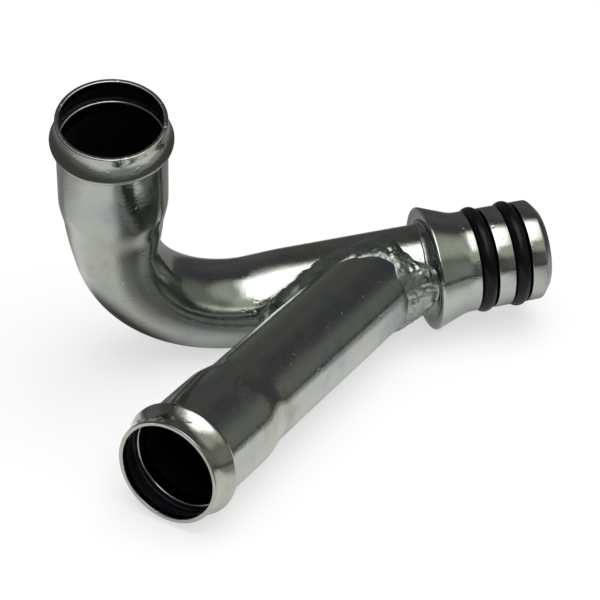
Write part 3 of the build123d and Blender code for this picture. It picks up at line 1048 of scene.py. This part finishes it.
def weld_section(turn, length):
    """Closed loop of points across the weld, at an angle round the branch and a length along the toe."""
    main_toe, main_out, arm_toe, arm_out, climb = toe_ends(turn, length)
    root = root_line(turn)
    crown = between(crown_rows, turn) * mm
    lump = between(lump_rows, turn) * mm
    # scallops along the toe on the main tube, one for each drop, and their slow unevenness
    wave = abs(math.sin(math.pi * length / scallop)) - 0.6
    serration = wave * scallop_depth + noise.noise(Vector((length / scallop, 0, 7))) * toe_wander
    # a low raised edge on the upper side of the crotch, and how far the crown is the sharp one of the top
    edge_raise = edge_height * smooth_step((-turn - 12) / 10) * smooth_step((turn + 80) / 20)
    top_side = smooth_step((-turn - 72) / 10) * smooth_step((turn + 132) / 14)
    # how far both sides lean towards the root line, and the power of the crown, which is flatter when high
    pull = 0.36 if -100 < turn < 60 else 0.6
    flat = 2.2 if -85 < turn < 85 else 3.5
    b, c = main_toe + (root - main_toe) * pull, arm_toe + (root - arm_toe) * pull
    points = []
    for t in steps(0, 1, outer_points - 1):
        # a point on a curve from toe to toe, and the direction out of the metal there
        u = 1 - t
        here = main_toe * u ** 3 + b * 3 * u * u * t + c * 3 * u * t * t + arm_toe * t ** 3
        out = (main_out * u + arm_out * t).normalized()
        # share of the crown's height: sharp or soft, and low where the toe climbs the collar
        sharp = min(1.0, t / 0.5) ** 1.5 * (1 - max(0.0, (t - 0.7) / 0.3) ** 2.5)
        soft = 1 - abs(2 * t - 1) ** flat
        body = (soft + (sharp - soft) * top_side) * (1 - 0.8 * climb * (1 - smooth_step(t / 0.3)))
        here = here + out * (crown * body + lump * min(1.0, body * 1.6) * lumps(here))
        if -100 < turn < 100:
            near_toe = math.exp(-(t / 0.2) ** 2)
            here.x -= serration * near_toe
            here += out * edge_raise * near_toe ** 6
        here.x = min(here.x, -toe_sink)
        points.append(here)
    middle_out = (main_out + arm_out).normalized()
    deep = root - middle_out * 0.75 * mm
    for t in steps(0, 1, under_points + 1)[1:-1]:
        low = arm_toe.lerp(deep, t * 2) if t < 0.5 else deep.lerp(main_toe, t * 2 - 1)
        points.append(low - middle_out * 0.25 * mm)
    return points


print("points across the weld", len(weld_section(0, 0)))

# %% [markdown]
# The sections have to be evenly spaced along the weld, not along the angle, because the toe runs far for a
# few degrees in the crotch. So the length is added up in small steps first, and then shared out.
# The ring of points is extruded from section to section, as for the tubes, and the last is bridged to the
# first. Two beads of spatter sit on the main tube beside the crotch.

# %% Weld
section_count = 760
# place along the main tube in mm, angle round it, and radius in mm
spatter = ((-40.3, -13, 0.5), (-38.6, -22, 0.35))


def pull_sections(bm, sections):
    """Pulls a ring of points from section to section and joins the last to the first."""
    ring = bmesh.ops.create_circle(bm, segments=len(sections[0]), radius=1.0)["verts"]
    edges = list({e for v in ring for e in v.link_edges})
    first = edges
    for point, place in zip(ring, sections[0]):
        point.co = place
    for section in sections[1:]:
        order = {point: i for i, point in enumerate(ring)}
        fresh, edges, _ = grow_ring(bm, edges)
        ring = [None] * len(section)
        for point in fresh:
            old = next(e.other_vert(point) for e in point.link_edges if e.other_vert(point) in order)
            ring[order[old]] = point
        for point, place in zip(ring, section):
            point.co = place
    bmesh.ops.bridge_loops(bm, edges=first + edges)


def toes(turn):
    """The two toes without their wander, for measuring."""
    return (main_skin(between(main_toe_rows, turn) * mm, between(main_toe_rows, turn, 2))[0],
            arm_skin(between(branch_toe_rows, turn) * mm, turn)[0])


def weld_turns(count):
    """Angles round the branch that are evenly spaced along the weld, each with the length so far."""
    fine = steps(-180, 180, 2000)
    lengths = [0.0]
    for before, after in zip(fine, fine[1:]):
        pairs = zip(toes(before), toes(after))
        lengths.append(lengths[-1] + sum((there - here).length for here, there in pairs) / 2)
    places = []
    k = 0
    for i in range(count):
        want = lengths[-1] * i / count
        while lengths[k + 1] < want:
            k += 1
        share = (want - lengths[k]) / max(1e-9, lengths[k + 1] - lengths[k])
        places.append((fine[k] + (fine[k + 1] - fine[k]) * share, want))
    return places


bm = bmesh.new()
pull_sections(bm, [weld_section(turn, length) for turn, length in weld_turns(section_count)])
for x, degrees, size in spatter:
    spot, _ = main_skin(x * mm, degrees, 0.08 * mm)
    bmesh.ops.create_icosphere(bm, subdivisions=3, radius=size * mm, matrix=Matrix.Translation(spot))
bmesh.ops.transform(bm, matrix=to_rest, verts=bm.verts[:])
finish_piece(bm, "branch_weld_run", [weld_metal], "weld_metal", "branch_weld")

# %% [markdown]
# The tube stands in the collar's socket, and braze metal has drawn up into a hollow fillet round it. It is
# fullest on the side of the weld, where the metal ran, and thin on the far side. A spin would make it the
# same all round, so it is pulled like the weld: a cross-section with a hollow face, and slow noise.

# %% Braze
braze_leg = 2.4 * mm
braze_sections = 200
face_points = 11
hollow = 1.7


def braze_section(turn):
    """Closed loop of points across the braze, at an angle round the main axis."""
    out = Vector((0, math.cos(turn), math.sin(turn)))
    round_place = Vector((math.cos(turn), math.sin(turn), 0)) * 3
    weld_side = smooth_step(0.5 + 0.6 * side_dir.dot(out))
    uneven = 0.14 * noise.noise(round_place) + 0.04 * noise.noise(round_place * 4)
    back = braze_leg * (0.22 + 0.64 * weld_side + uneven)
    up = braze_leg * (0.24 + 0.52 * weld_side + 0.08 * noise.noise(round_place + Vector((0, 0, 5))))
    rows = []
    for share in steps(0, 1, face_points - 1):
        swell = 0.03 * mm * noise.noise(round_place * 3 + Vector((0, 0, share * 3)))
        swell *= math.sin(math.pi * share)
        rows.append((min(-back * (1 - share) ** hollow, -0.02 * mm), tube_r + up * share ** hollow + swell))
    rows += [(-0.02 * mm, tube_r - 0.05 * mm), (-back * 0.5, tube_r - 0.1 * mm)]
    return [Vector((x, 0, 0)) + out * r for x, r in rows]


bm = bmesh.new()
pull_sections(bm, [braze_section(math.tau * i / braze_sections) for i in range(braze_sections)])
bmesh.ops.transform(bm, matrix=to_rest, verts=bm.verts[:])
finish_piece(bm, "spigot_braze_run", [weld_metal], "weld_metal", "spigot_braze")
